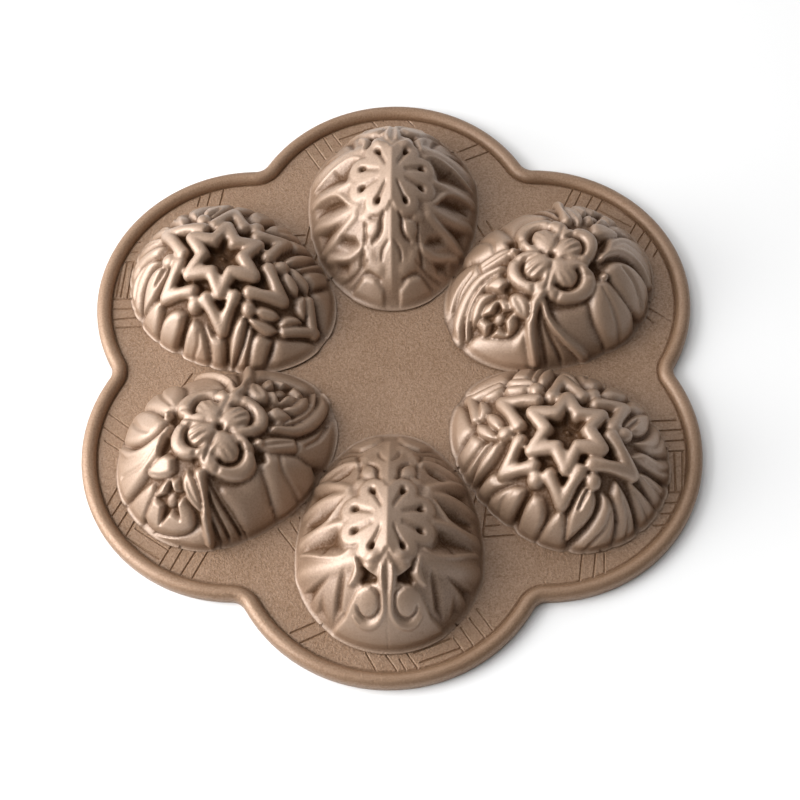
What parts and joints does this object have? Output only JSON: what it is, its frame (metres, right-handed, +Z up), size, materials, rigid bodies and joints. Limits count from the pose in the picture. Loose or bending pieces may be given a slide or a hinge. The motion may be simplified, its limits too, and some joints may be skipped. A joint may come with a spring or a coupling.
{
  "type": "cakelet pan",
  "caption": "Cast aluminium cakelet pan in a six-petalled outline, with egg-shaped cups in raised rosette, star and blossom ornament, lying mouth down.",
  "frame": {"origin": "middle of the pan, on the flat mouth side that lies on the table", "axes": "+Z up through the egg cups' crowns, +Y along the long axis of two opposite rosette cups, +X to the right of them"},
  "size_m": [0.2438, 0.262, 0.036],
  "materials": {
    "plate_bronze": "cast aluminium with a satin bronze non-stick coat, fine pebbled grain",
    "cup_bronze": "cast aluminium with a satin bronze non-stick coat, smooth and a little glossier"
  },
  "bodies": {
    "root": {"deck_plate": "plate_bronze", "rim_bead": "plate_bronze", "rosette_cup_rear": "cup_bronze", "rosette_cup_front": "cup_bronze", "star_cup_rear_left": "cup_bronze", "star_cup_front_right": "cup_bronze", "blossom_cup_rear_right": "cup_bronze", "blossom_cup_front_left": "cup_bronze"}
  },
  "joints": []
}
